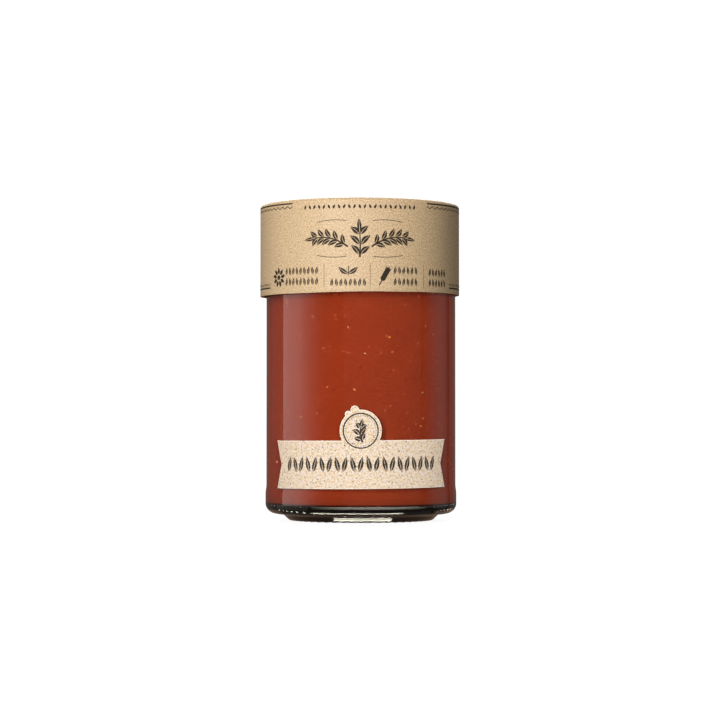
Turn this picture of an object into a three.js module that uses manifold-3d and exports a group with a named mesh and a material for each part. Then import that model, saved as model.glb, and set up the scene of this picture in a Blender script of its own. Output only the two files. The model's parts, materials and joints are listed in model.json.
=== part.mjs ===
// A straight glass jar of tomato passata, shut under a kraft paper cover, with a die-cut paper label.
// Millimetres, +Z up. The origin is at the middle of the foot, on the surface that the jar stands on.
// The label faces -Y.
import * as THREE from "three";
import { mergeVertices } from "three/addons/utils/BufferGeometryUtils.js";
import Module from "manifold-3d";

// Whole jar
const JAR_HEIGHT = 137.5;
const ROUND_SEGMENTS = 72;
const ARC_STEPS = 3;
const FIT_GAP = 0.3;

// Glass: a straight wall over a bumper ring, a rounded heel and a smaller foot
const BODY_RADIUS = 41.3;
const WALL = 2.4;
const BUMPER_RADIUS = 41.7;
const BUMPER_LOW = 7.3;
const BUMPER_HIGH = 11.2;
const BUMPER_FADE = 16.0;
const HEEL_RADIUS = 36.9;
const HEEL_HEIGHT = 2.95;
const FOOT_TOP_RADIUS = 33.9;
const FOOT_HEIGHT = 2.5;
const FOOT_RADIUS = 31.3;
const FOOT_ROUND = 0.6;
const BEARING_INNER_RADIUS = 26.5;
const PUSH_UP = 2.0;
const INNER_BASE = 6.9;
const INNER_DOME = 1.0;
const INNER_CORNER = 3.6;

// Kraft paper cover: a closed top, a thick band over the hidden mouth and a thin skirt below it
const COVER_RADIUS = 43.5;
const COVER_DROP = 39.8;
const COVER_SHIFT = -0.5;
const COVER_TOP = 1.8;
const COVER_BAND = 13.0;
const COVER_PAPER = 0.5;
const COVER_SHOULDER = 1.8;

// Passata: fills the glass to a level that the cover hides
const FILL_LEVEL = 120.0;

// Label: a swallow-tailed ribbon with a round bump and two small lobes over its upper edge
const LABEL_PAPER = 0.3;
const LABEL_GAP = 0.1;
const LABEL_TILT = THREE.MathUtils.degToRad(-0.4);
const RIBBON_LENGTH = 85.5;
const RIBBON_LOW = 14.8;
const RIBBON_HIGH = 35.2;
const TAIL_NOTCH = 3.4;
const TAIL_STEPS = 6;
const BUMP_RADIUS = 8.9;
const BUMP_HEIGHT = 39.3;
const BUMP_SEGMENTS = 40;
const LOBE_SEGMENTS = 16;
const LOBES = [
  { x: -2.4, z: 48.1, radius: 1.8 },
  { x: -5.15, z: 46.25, radius: 1.5 },
];

// Worked-out places
const GLASS_RIM = JAR_HEIGHT - COVER_TOP - FIT_GAP;
const INNER_RADIUS = BODY_RADIUS - WALL;
const COVER_HEM = JAR_HEIGHT - COVER_DROP;
const BAND_RADIUS = BODY_RADIUS + FIT_GAP - COVER_SHIFT;
const RIBBON_MIDDLE = (RIBBON_LOW + RIBBON_HIGH) / 2;

const wasm = await Module();
wasm.setup();

// Turns a profile of radius and height about +Z. It starts and ends on the axis, or closes on itself.
function revolve(profile) {
  return new THREE.LatheGeometry(profile, ROUND_SEGMENTS).rotateX(Math.PI / 2);
}

// A closed geometry as a solid for joining and cutting, without the slivers that meet on the axis.
function solidOf(geometry) {
  const bare = geometry.clone();
  bare.deleteAttribute("normal");
  bare.deleteAttribute("uv");
  const merged = mergeVertices(bare);
  const corners = merged.index.array;
  const triangles = [];
  for (let i = 0; i < corners.length; i += 3) {
    const [a, b, c] = corners.slice(i, i + 3);
    if (a !== b && b !== c && c !== a) triangles.push(a, b, c);
  }
  const mesh = new wasm.Mesh({
    numProp: 3,
    vertProperties: merged.attributes.position.array,
    triVerts: new Uint32Array(triangles),
  });
  return new wasm.Manifold(mesh);
}

// A joined or cut solid as a geometry again.
function geometryOf(solid) {
  const { vertProperties, triVerts } = solid.getMesh();
  const geometry = new THREE.BufferGeometry();
  geometry.setAttribute("position", new THREE.BufferAttribute(vertProperties, 3));
  geometry.setIndex(new THREE.BufferAttribute(triVerts, 1));
  geometry.computeVertexNormals();
  return geometry;
}

// Outside of the glass, from under the base to the rim, then down the inside to the middle of the floor.
function glassProfile() {
  const footSlope = new THREE.Vector2(FOOT_TOP_RADIUS - FOOT_RADIUS, FOOT_HEIGHT).setLength(FOOT_ROUND);
  const fadeMiddle = (BUMPER_HIGH + BUMPER_FADE) / 2;
  const rimRound = WALL / 2;
  const cornerHeight = INNER_BASE + INNER_CORNER;
  const domeTop = INNER_BASE + INNER_DOME;
  const outline = new THREE.Path();
  outline.moveTo(0, PUSH_UP);
  outline.quadraticCurveTo(BEARING_INNER_RADIUS / 2, PUSH_UP, BEARING_INNER_RADIUS, 0);
  outline.lineTo(FOOT_RADIUS - FOOT_ROUND, 0);
  outline.quadraticCurveTo(FOOT_RADIUS, 0, FOOT_RADIUS + footSlope.x, footSlope.y);
  outline.lineTo(FOOT_TOP_RADIUS, FOOT_HEIGHT);
  outline.lineTo(HEEL_RADIUS, HEEL_HEIGHT);
  outline.absellipse(
    HEEL_RADIUS, BUMPER_LOW, BUMPER_RADIUS - HEEL_RADIUS, BUMPER_LOW - HEEL_HEIGHT, -Math.PI / 2, 0,
  );
  outline.lineTo(BUMPER_RADIUS, BUMPER_HIGH);
  outline.bezierCurveTo(BUMPER_RADIUS, fadeMiddle, BODY_RADIUS, fadeMiddle, BODY_RADIUS, BUMPER_FADE);
  outline.lineTo(BODY_RADIUS, GLASS_RIM - rimRound);
  outline.absarc(BODY_RADIUS - rimRound, GLASS_RIM - rimRound, rimRound, 0, Math.PI);
  outline.lineTo(INNER_RADIUS, cornerHeight);
  outline.absarc(INNER_RADIUS - INNER_CORNER, cornerHeight, INNER_CORNER, 0, -Math.PI / 2, true);
  outline.quadraticCurveTo(INNER_RADIUS / 2, domeTop, 0, domeTop);
  return outline.getPoints(ARC_STEPS);
}

// The passata follows the inside of the glass, clear of it by the fit gap, up to the fill level.
function passataProfile() {
  const radius = INNER_RADIUS - FIT_GAP;
  const floor = INNER_BASE + FIT_GAP;
  const corner = INNER_CORNER - FIT_GAP;
  const outline = new THREE.Path();
  outline.moveTo(0, floor + INNER_DOME);
  outline.quadraticCurveTo(INNER_RADIUS / 2, floor + INNER_DOME, radius - corner, floor);
  outline.absarc(radius - corner, floor + corner, corner, -Math.PI / 2, 0);
  outline.lineTo(radius, FILL_LEVEL);
  outline.lineTo(0, FILL_LEVEL);
  return outline.getPoints(ARC_STEPS);
}

// The cover, from the middle of its inside down to the hem, then up the outside and over the shoulder.
function coverProfile() {
  const ceiling = JAR_HEIGHT - COVER_TOP;
  const bandFoot = JAR_HEIGHT - COVER_BAND;
  const skirt = COVER_RADIUS - COVER_PAPER;
  const shoulder = JAR_HEIGHT - COVER_SHOULDER;
  const outline = new THREE.Path();
  outline.moveTo(0, ceiling);
  outline.lineTo(BAND_RADIUS, ceiling);
  outline.lineTo(BAND_RADIUS, bandFoot);
  outline.lineTo(skirt, bandFoot);
  outline.lineTo(skirt, COVER_HEM);
  outline.lineTo(COVER_RADIUS, COVER_HEM);
  outline.lineTo(COVER_RADIUS, shoulder);
  outline.absarc(COVER_RADIUS - COVER_SHOULDER, shoulder, COVER_SHOULDER, 0, Math.PI / 2);
  outline.lineTo(0, JAR_HEIGHT);
  return outline.getPoints(ARC_STEPS);
}

// A small closed profile for a thin ring between two radii and two heights.
function ringProfile(inner, outer, low, high) {
  const corners = [[inner, low], [outer, low], [outer, high], [inner, high], [inner, low]];
  return corners.map(([radius, height]) => new THREE.Vector2(radius, height));
}

// The ribbon seen from the front, where a length along the paper shows as its chord. Its ends are notched.
function ribbonShape(radius) {
  const half = RIBBON_LENGTH / 2;
  const tail = [];
  for (let i = 0; i <= TAIL_STEPS; i++) {
    const up = i / TAIL_STEPS;
    const length = half - TAIL_NOTCH * (1 - Math.abs(2 * up - 1));
    const height = THREE.MathUtils.lerp(RIBBON_LOW, RIBBON_HIGH, up);
    tail.push(new THREE.Vector2(radius * Math.sin(length / radius), height));
  }
  const otherTail = tail.map((point) => new THREE.Vector2(-point.x, point.y)).reverse();
  return new THREE.Shape([...tail, ...otherTail]);
}

// The label: its outline pushed back from the front, kept where it meets a thin shell round the glass.
function labelGeometry() {
  const inner = BODY_RADIUS + LABEL_GAP;
  const outer = inner + LABEL_PAPER;
  const reach = outer + LABEL_PAPER;
  const ribbon = new THREE.ExtrudeGeometry(ribbonShape(outer), { depth: reach, bevelEnabled: false });
  let outline = solidOf(ribbon.rotateX(Math.PI / 2));
  const bump = { x: 0, z: BUMP_HEIGHT, radius: BUMP_RADIUS, segments: BUMP_SEGMENTS };
  const lobes = LOBES.map((lobe) => ({ ...lobe, segments: LOBE_SEGMENTS }));
  for (const { x, z, radius, segments } of [bump, ...lobes]) {
    const disc = new THREE.CylinderGeometry(radius, radius, reach, segments);
    outline = outline.add(solidOf(disc.translate(x, -reach / 2, z)));
  }
  const tilted = geometryOf(outline)
    .translate(0, 0, -RIBBON_MIDDLE)
    .rotateY(LABEL_TILT)
    .translate(0, 0, RIBBON_MIDDLE);
  const shell = revolve(ringProfile(inner, outer, 0, JAR_HEIGHT));
  return geometryOf(solidOf(shell).intersect(solidOf(tilted)));
}

// A named sub-part with its own finish.
function subPart(name, geometry, finish) {
  const mesh = new THREE.Mesh(geometry, new THREE.MeshStandardMaterial(finish));
  mesh.name = name;
  return mesh;
}

const glass = subPart("glass_jar", revolve(glassProfile()), {
  color: 0xdfe8e2, roughness: 0.03, metalness: 0, transparent: true, opacity: 0.35,
});
const passata = subPart("passata", revolve(passataProfile()), {
  color: 0x9c3820, roughness: 0.45, metalness: 0,
});
const label = subPart("label", labelGeometry(), { color: 0xecd6ba, roughness: 0.85, metalness: 0 });
const cover = subPart("kraft_cover", revolve(coverProfile()), {
  color: 0xd8b98c, roughness: 0.9, metalness: 0,
});
cover.position.x = COVER_SHIFT;

const jar = new THREE.Group();
jar.add(glass, passata, label, cover);

export default jar;
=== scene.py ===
"""Looks of a straight glass jar of tomato passata under a kraft paper cover, built round its solids."""

import json
import math

import bmesh
import bpy
import numpy as np
from bpy.props import FloatProperty, FloatVectorProperty, IntProperty, PointerProperty
from bpy.types import Operator, Panel, PropertyGroup
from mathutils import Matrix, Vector

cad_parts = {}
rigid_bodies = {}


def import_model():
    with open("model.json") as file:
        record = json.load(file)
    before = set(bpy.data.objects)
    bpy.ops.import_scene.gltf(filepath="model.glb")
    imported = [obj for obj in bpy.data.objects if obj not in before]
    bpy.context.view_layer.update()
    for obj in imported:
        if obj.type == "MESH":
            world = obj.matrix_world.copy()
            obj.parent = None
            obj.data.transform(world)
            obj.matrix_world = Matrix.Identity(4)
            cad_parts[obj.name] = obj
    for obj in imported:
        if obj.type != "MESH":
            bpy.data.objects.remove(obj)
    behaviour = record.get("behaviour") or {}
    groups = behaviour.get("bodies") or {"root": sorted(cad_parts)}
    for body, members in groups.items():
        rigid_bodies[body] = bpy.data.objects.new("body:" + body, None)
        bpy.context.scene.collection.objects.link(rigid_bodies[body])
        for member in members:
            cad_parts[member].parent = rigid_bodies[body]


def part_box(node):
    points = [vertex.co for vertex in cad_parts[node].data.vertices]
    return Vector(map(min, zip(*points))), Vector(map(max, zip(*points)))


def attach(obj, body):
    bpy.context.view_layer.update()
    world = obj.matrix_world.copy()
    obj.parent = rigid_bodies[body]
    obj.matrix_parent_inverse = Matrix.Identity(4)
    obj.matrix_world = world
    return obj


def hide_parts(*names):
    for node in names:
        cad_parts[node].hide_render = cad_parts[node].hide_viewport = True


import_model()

bl_info = {
    "name": "Passata jar",
    "version": (1, 0, 0),
    "blender": (4, 5, 0),
    "location": "View3D > Sidebar > Jar",
    "description": "Builds the glass, passata, paper cover, label and print of a jar, and its stage",
    "category": "Object",
}

MM = 0.001
BODY = "root"
IMAGE_SIDE = 720

GLASS_LOW, GLASS_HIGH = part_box("glass_jar")
COVER_LOW, COVER_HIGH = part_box("kraft_cover")
FILL_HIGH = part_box("passata")[1]
COVER_CENTRE = (COVER_LOW.x + COVER_HIGH.x) / 2


def linear(red, green, blue):
    """A colour read off the screen, from 0 to 255, as linear light."""
    values = np.array([red, green, blue]) / 255
    return tuple(np.where(values <= 0.04045, values / 12.92, ((values + 0.055) / 1.055) ** 2.4))


def length(name, description, millimetres):
    """A length property with its default given in millimetres."""
    return FloatProperty(
        name=name, description=description, default=millimetres * MM, unit="LENGTH", precision=5
    )


def angle(name, description, degrees):
    """An angle property with its default given in degrees."""
    return FloatProperty(
        name=name, description=description, default=math.radians(degrees), subtype="ANGLE"
    )


def number(name, description, value):
    """A plain number."""
    return FloatProperty(name=name, description=description, default=value)


def count(name, description, value):
    """A whole number, at least one."""
    return IntProperty(name=name, description=description, default=value, min=1)


def colour(name, description, red, green, blue):
    """A colour property with its default given as it shows on the screen."""
    return FloatVectorProperty(
        name=name, description=description, default=linear(red, green, blue),
        subtype="COLOR", size=3, min=0, max=1,
    )


class GlassSettings(PropertyGroup):
    """Sizes and tint of the glass."""

    body_radius: length("Body radius", "Outside of the straight wall", 41.3)
    wall: length("Wall", "Thickness of the straight wall", 2.4)
    bumper_low: length("Bumper low", "Where the heel's curve ends", 7.3)
    bumper_high: length("Bumper high", "Where the bumper ring starts to fade", 11.2)
    bumper_fade: length("Bumper fade", "Where the wall is straight", 16.0)
    heel_radius: length("Heel radius", "Where the heel's curve starts underneath", 36.9)
    heel_height: length("Heel height", "Height of the underside of the heel", 2.95)
    foot_top_radius: length("Foot top radius", "Where the foot joins the heel", 33.9)
    foot_height: length("Foot height", "Height of that joint", 2.5)
    foot_radius: length("Foot radius", "Outer edge of the ring that the jar stands on", 31.3)
    foot_round: length("Foot round", "Rounding of that edge", 0.6)
    bearing_radius: length("Bearing radius", "Inner edge of the ring that the jar stands on", 26.5)
    push_up: length("Push-up", "Rise of the underside at the middle", 2.0)
    floor_height: length("Floor height", "Inside floor at its corner", 6.9)
    floor_dome: length("Floor dome", "Extra height of the floor's middle", 1.0)
    floor_corner: length("Floor corner", "Rounding between floor and wall", 1.6)
    ribs: count("Ribs", "Short moulded ribs round the ring that the jar stands on", 50)
    rib_depth: length("Rib depth", "How deep the dents between the ribs are", 0.4)
    rib_inner: length("Rib inner", "Where the ribs start, from the axis", 27.0)
    rib_outer: length("Rib outer", "Where the ribs end, from the axis", 31.9)
    segments: count("Segments", "Steps round the glass", 576)
    tint: colour("Tint", "Colour of thick glass", 176, 205, 178)
    tint_density: number("Tint density", "How fast thick glass takes that colour, per metre", 12.0)


class PassataSettings(PropertyGroup):
    """Sizes and colours of the passata."""

    overlap: length("Overlap", "How far it reaches into the wall, so that no gap shows", 0.15)
    segments: count("Segments", "Steps round the passata", 192)
    flesh: colour("Flesh", "Main colour", 156, 56, 25)
    deep: colour("Deep", "Colour of the darker clouds", 145, 49, 21)
    pale: colour("Pale", "Colour of the paler clouds", 172, 72, 40)
    # The dark bottom colour is painted shade, not a colour of the passata itself
    underside_shade: colour("Underside", "Colour of the bottom, which hardly any light reaches", 34, 15, 9)
    flecks: number("Flecks", "Flecks to a square metre of wall, most of them faint", 32000.0)
    fleck_size: length("Fleck size", "Half length of a large fleck", 0.75)
    seed: count("Seed", "Start of the random places", 11)


class CoverSettings(PropertyGroup):
    """Sizes and colours of the paper cover."""

    paper: length("Paper", "Thickness of the skirt", 0.5)
    shoulder: length("Shoulder", "Rounding of the top edge", 1.8)
    top: length("Top", "Thickness of the closed top", 1.8)
    band: length("Band", "Height of the thick part over the mouth", 13.0)
    lap: length("Lap", "Step where the sheet laps over itself at the back", 0.28)
    lap_width: angle("Lap width", "Turn over which the lap rises", 34.0)
    lap_place: angle("Lap place", "Where the lap ends, from the front", 168.0)
    hem_slant: length("Hem slant", "How much lower the hem is on the left than in the middle", 0.33)
    hem_wave: length("Hem wave", "Unevenness of the cut hem", 0.06)
    segments: count("Segments", "Steps round the cover", 360)
    kraft: colour("Kraft", "Main colour of the paper", 224, 190, 141)
    kraft_dark: colour("Kraft dark", "Darker fibres", 166, 129, 85)
    kraft_pale: colour("Kraft pale", "Paler fibres", 243, 217, 178)


class LabelSettings(PropertyGroup):
    """Sizes and colours of the label."""

    paper: length("Paper", "Thickness", 0.3)
    lift: length("Lift", "Gap between paper and glass, filled by glue", 0.02)
    ribbon: length("Ribbon", "Length along the curve", 85.5)
    low: length("Low", "Lower edge", 14.8)
    high: length("High", "Upper edge", 35.2)
    notch: length("Notch", "Depth of the swallow tails", 3.4)
    bump_radius: length("Bump radius", "Radius of the round top", 8.9)
    bump_height: length("Bump height", "Height of its middle", 39.3)
    tilt: angle("Tilt", "How far the label is stuck on askew", 0.4)
    # The paler band along the cut edge is a painted highlight, where the edge would catch the light
    rim: length("Rim", "Width of the paler cut edge", 0.45)
    cream: colour("Cream", "Main colour of the paper", 230, 213, 189)
    tan: colour("Tan", "Flecks of peel", 201, 162, 106)
    haze: colour("Haze", "Greyer patches", 220, 203, 197)
    grey: colour("Grey", "Small dark specks", 112, 98, 88)


class PrintSettings(PropertyGroup):
    """Sizes and colour of the print."""

    ink: colour("Ink", "Colour of the print", 50, 42, 32)
    proud: length("Proud", "How far the ink stands out of the paper", 0.03)
    sunk: length("Sunk", "How far it goes into the paper", 0.03)
    rule: length("Rule", "Width of a frame line", 0.62)
    hairline: length("Hairline", "Width of a thin line", 0.34)
    wave_length: length("Wave length", "One wave of the wavy line", 3.2)
    wave_height: length("Wave height", "Half height of a wave", 0.42)


class StageSettings(PropertyGroup):
    """Camera, light and floor."""

    distance: length("Distance", "Camera to the jar's axis", 1022.0)
    eye: length("Eye", "Height of the camera", 49.0)
    aside: length("Aside", "Camera left of the axis", 0.4)
    tilt: angle("Tilt", "Camera turned up", 1.17)
    focal_pixels: number("Focal length", "In pixels of the photograph", 2334.0)
    key: number("Key", "Power of the key light at the left, in watts", 10.2)
    front: number("Front", "Power of the low wide light in front, in watts", 5.4)
    top: number("Top", "Power of the light overhead, in watts", 4.1)
    back: number("Back", "Power of the light behind, in watts", 17.0)
    fill: number("Fill", "Power of the fill light at the right, in watts", 3.1)
    label_right: number("Label right", "Power of the right light for the label alone, in watts", 4.6)
    label_left: number("Label left", "Power of the left light for the label alone, in watts", 3.4)
    left: number("Left", "Brightness of the panel on the left", 1.45)
    right: number("Right", "Brightness of the panel on the right", 0.34)
    backdrop: number("Backdrop", "Brightness of the sheet behind the jar", 1.0)
    glint: number("Glint", "Brightness of the strips that glint in the heel and the foot", 12.0)
    shimmer: number("Shimmer", "Brightness of the brown strips that show under the heel", 0.3)
    shimmer_tone: colour("Shimmer tone", "Colour of those strips", 236, 198, 170)
    room: number("Room", "Brightness of the dim room round the jar", 0.03)
    gloss: number("Gloss", "How much brighter the room is in reflections", 0.1)
    room_tone: colour("Room tone", "Colour of that room", 255, 246, 236)
    paper_white: number("Paper white", "Brightness of the backdrop as the camera sees it", 1.05)
    floor_shade: number("Floor shade", "Share of the floor's white that shadows can take away", 0.12)


class JarSettings(PropertyGroup):
    """All settings of the jar."""

    glass: PointerProperty(type=GlassSettings)
    passata: PointerProperty(type=PassataSettings)
    cover: PointerProperty(type=CoverSettings)
    label: PointerProperty(type=LabelSettings)
    printing: PointerProperty(type=PrintSettings)
    stage: PointerProperty(type=StageSettings)


class Outline:
    """A profile of radius and height, drawn with lines, curves and arcs."""

    def __init__(self, radius, height):
        self.points = [(radius, height)]

    def line(self, radius, height, steps=1):
        """A straight line to a point."""
        start = np.array(self.points[-1])
        for share in np.linspace(0, 1, steps + 1)[1:]:
            self.points.append(tuple(start + share * (np.array((radius, height)) - start)))

    def curve(self, pull, end, steps=6):
        """A curve to end that starts towards pull and arrives from it."""
        start = np.array(self.points[-1])
        for t in np.linspace(0, 1, steps + 1)[1:]:
            point = (1 - t) ** 2 * start + 2 * t * (1 - t) * np.array(pull) + t * t * np.array(end)
            self.points.append(tuple(point))

    def arc(self, centre, radii, first, last, steps=10):
        """Part of an ellipse, between two angles in degrees."""
        for turn in np.radians(np.linspace(first, last, steps + 1)):
            point = (centre[0] + radii[0] * math.cos(turn), centre[1] + radii[1] * math.sin(turn))
            if math.dist(point, self.points[-1]) > 1e-9:
                self.points.append(point)


class Drawing:
    """Thin ink shapes on flat paper, in metres: x along the paper, y out of it and z up it."""

    def __init__(self, settings):
        self.depths = (-settings.sunk, settings.proud)
        self.points = []
        self.faces = []

    def add(self, points, faces):
        """Adds ready corners and faces."""
        base = len(self.points)
        self.points.extend(tuple(point) for point in points)
        self.faces.extend(tuple(base + corner for corner in face) for face in faces)

    def band(self, left, right):
        """A closed strip between two edges, each a list of places on the paper."""
        back, front = self.depths
        points = []
        for (lx, lz), (rx, rz) in zip(left, right):
            points += [(lx, back, lz), (lx, front, lz), (rx, front, rz), (rx, back, rz)]
        faces = [(0, 1, 2, 3)]
        for row in range(len(left) - 1):
            for side in range(4):
                here = 4 * row + side
                beside = 4 * row + (side + 1) % 4
                faces.append((here, here + 4, beside + 4, beside))
        last = 4 * (len(left) - 1)
        faces.append((last + 3, last + 2, last + 1, last))
        self.add(points, faces)

    def stroke(self, path, width):
        """A line along a path, as wide as width, which may be a number or a list."""
        path = np.array(path, float)
        along = np.gradient(path, axis=0)
        along /= np.linalg.norm(along, axis=1)[:, None]
        aside = np.stack([-along[:, 1], along[:, 0]], 1) * np.reshape(width, (-1, 1)) / 2
        self.band(path + aside, path - aside)

    def rule(self, first, last, height, width, step=0.8 * MM):
        """A level line."""
        steps = max(2, round(abs(last - first) / step))
        along = np.linspace(first, last, steps + 1)
        self.stroke(np.stack([along, np.full_like(along, height)], 1), width)

    def wave(self, first, last, height, settings):
        """A thin wavy line that starts at first."""
        steps = round(abs(last - first) / (settings.wave_length / 12))
        along = np.linspace(first, last, steps + 1)
        rise = np.cos(2 * math.pi * (along - first) / settings.wave_length) * settings.wave_height
        self.stroke(np.stack([along, height + rise], 1), settings.hairline)

    def ring(self, centre, radius, width, steps=64):
        """A closed circle line."""
        turns = np.linspace(0, 2 * math.pi, steps + 1)
        path = np.stack([np.cos(turns), np.sin(turns)], 1) * radius + np.array(centre)
        self.stroke(path, width)

    def dot(self, centre, radius, steps=8):
        """A round dot."""
        turns = np.linspace(0.12, math.pi - 0.12, steps)
        upper = np.stack([np.cos(turns), np.sin(turns)], 1) * radius + np.array(centre)
        lower = np.stack([np.cos(turns), -np.sin(turns)], 1) * radius + np.array(centre)
        self.band(upper, lower)

    def leaf(self, root, tip, width, vein=0.0, bend=0.0, steps=9):
        """A pointed leaf from root to tip. A vein splits it in two, and bend curves it."""
        root, tip = np.array(root, float), np.array(tip, float)
        along = tip - root
        aside = np.array([-along[1], along[0]]) / np.linalg.norm(along)
        share = np.linspace(0, 1, steps)[:, None]
        middle = root + share * along + aside * np.sin(math.pi * share) * bend
        half = np.maximum(np.sin(math.pi * share**0.85) * width / 2, 0.02 * MM)
        gap = np.minimum(vein / 2 * (1 - 0.6 * share), 0.8 * half)
        if vein == 0:
            self.band(middle + aside * half, middle - aside * half)
            return
        self.band(middle + aside * half, middle + aside * gap)
        self.band(middle - aside * gap, middle - aside * half)


def add_node(tree, kind, inputs=None, **settings):
    """A node with its settings made and its inputs set or linked."""
    made = tree.nodes.new(kind)
    for key, value in settings.items():
        setattr(made, key, value)
    for key, value in (inputs or {}).items():
        if isinstance(value, bpy.types.NodeSocket):
            tree.links.new(value, made.inputs[key])
        else:
            made.inputs[key].default_value = value
    return made


def maths(tree, operation, *values):
    """A Math node's result."""
    return add_node(tree, "ShaderNodeMath", dict(enumerate(values)), operation=operation).outputs[0]


def mixed(tree, share, first, second):
    """Two colours mixed by share."""
    inputs = {0: share, 6: first, 7: second}
    made = add_node(tree, "ShaderNodeMix", inputs, data_type="RGBA", clamp_factor=True)
    return made.outputs[2]


def opaque(rgb):
    """A colour with full alpha."""
    return (*rgb, 1.0)


def noise(tree, coordinates, scale, detail=2.0, roughness=0.5):
    """A noise texture's value."""
    inputs = {"Vector": coordinates, "Scale": scale, "Detail": detail, "Roughness": roughness}
    return add_node(tree, "ShaderNodeTexNoise", inputs).outputs[0]


def stretched(tree, coordinates, scale, turn):
    """Coordinates stretched and turned, for fibres that lie one way."""
    inputs = {"Vector": coordinates, "Rotation": (0, 0, turn), "Scale": scale}
    return add_node(tree, "ShaderNodeMapping", inputs, vector_type="TEXTURE").outputs[0]


def stepped(tree, value, low, high):
    """0 below low, 1 above high and smooth between."""
    inputs = {"Value": value, "From Min": low, "From Max": high}
    return add_node(tree, "ShaderNodeMapRange", inputs, interpolation_type="SMOOTHSTEP").outputs[0]


def bumped(tree, height, strength, distance):
    """A normal bent by a height."""
    inputs = {"Height": height, "Strength": strength, "Distance": distance}
    return add_node(tree, "ShaderNodeBump", inputs).outputs[0]


def new_material(name):
    """A material with its tree emptied, and its output node."""
    material = bpy.data.materials.new(name)
    material.use_nodes = True
    material.node_tree.nodes.clear()
    output = add_node(material.node_tree, "ShaderNodeOutputMaterial")
    return material, material.node_tree, output


def finish_surface(tree, output, inputs):
    """A Principled shader with these inputs, joined to the output."""
    shader = add_node(tree, "ShaderNodeBsdfPrincipled", inputs)
    tree.links.new(shader.outputs[0], output.inputs["Surface"])


def object_place(tree):
    """Object coordinates."""
    return add_node(tree, "ShaderNodeTexCoord").outputs["Object"]


def sheet_place(tree):
    """The piece's own paper coordinates, in metres."""
    return add_node(tree, "ShaderNodeUVMap", uv_map="sheet").outputs[0]


def glass_material(settings):
    """Clear moulded glass with a tint where it is thick."""
    material, tree, output = new_material("jar_glass")
    finish_surface(tree, output, {
        "Base Color": (1, 1, 1, 1), "Roughness": 0.0, "IOR": 1.5, "Transmission Weight": 1.0,
    })
    absorbed = {"Color": opaque(settings.tint), "Density": settings.tint_density}
    inside = add_node(tree, "ShaderNodeVolumeAbsorption", absorbed)
    tree.links.new(inside.outputs[0], output.inputs["Volume"])
    return material


def passata_material(settings):
    """Smooth cooked tomato, clouded, with fine pulp, and painted shade that darkens its bottom."""
    material, tree, output = new_material("passata_flesh")
    place = object_place(tree)
    clouds = stepped(tree, noise(tree, place, 45.0, 3.0), 0.35, 0.68)
    tone = mixed(tree, clouds, opaque(settings.deep), opaque(settings.flesh))
    pulp = stepped(tree, noise(tree, place, 900.0, 2.0), 0.56, 0.78)
    tone = mixed(tree, maths(tree, "MULTIPLY", pulp, 0.9), tone, opaque(settings.pale))
    grain = noise(tree, place, 2600.0, 1.0)
    tone = mixed(tree, 0.35, tone, mixed(tree, grain, opaque(settings.deep), opaque(settings.pale)))
    # Painted shade: the bottom and the lowest wall are mixed towards a dark colour, since little light
    # reaches them
    unlit = add_node(tree, "ShaderNodeAttribute", attribute_name="unlit").outputs["Fac"]
    tone = mixed(tree, unlit, tone, opaque(settings.underside_shade))
    finish_surface(tree, output, {
        "Base Color": tone, "Roughness": maths(tree, "MULTIPLY_ADD", grain, 0.2, 0.4),
        "Specular IOR Level": 0.0, "Subsurface Weight": 0.4, "Subsurface Scale": 1.2 * MM,
        "Subsurface Radius": (1.0, 0.4, 0.2),
    })
    return material


def fleck_material():
    """Bits of skin and seed: some dark, most a little paler than the flesh, a few orange or yellow."""
    material, tree, output = new_material("passata_fleck")
    tone = add_node(tree, "ShaderNodeAttribute", attribute_name="tone").outputs["Fac"]
    ramp = add_node(tree, "ShaderNodeValToRGB", {"Fac": tone})
    stops = ramp.color_ramp.elements
    stops[0].color = opaque(linear(96, 30, 14))
    stops[1].color = opaque(linear(242, 182, 150))
    stops.new(0.24).color = opaque(linear(118, 36, 16))
    stops.new(0.28).color = opaque(linear(182, 86, 56))
    stops.new(0.72).color = opaque(linear(190, 96, 66))
    stops.new(0.8).color = opaque(linear(205, 108, 74))
    stops.new(0.88).color = opaque(linear(222, 142, 52))
    stops.new(0.94).color = opaque(linear(236, 146, 112))
    finish_surface(tree, output, {
        "Base Color": ramp.outputs[0], "Roughness": 0.5, "Specular IOR Level": 0.0,
    })
    return material


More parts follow.
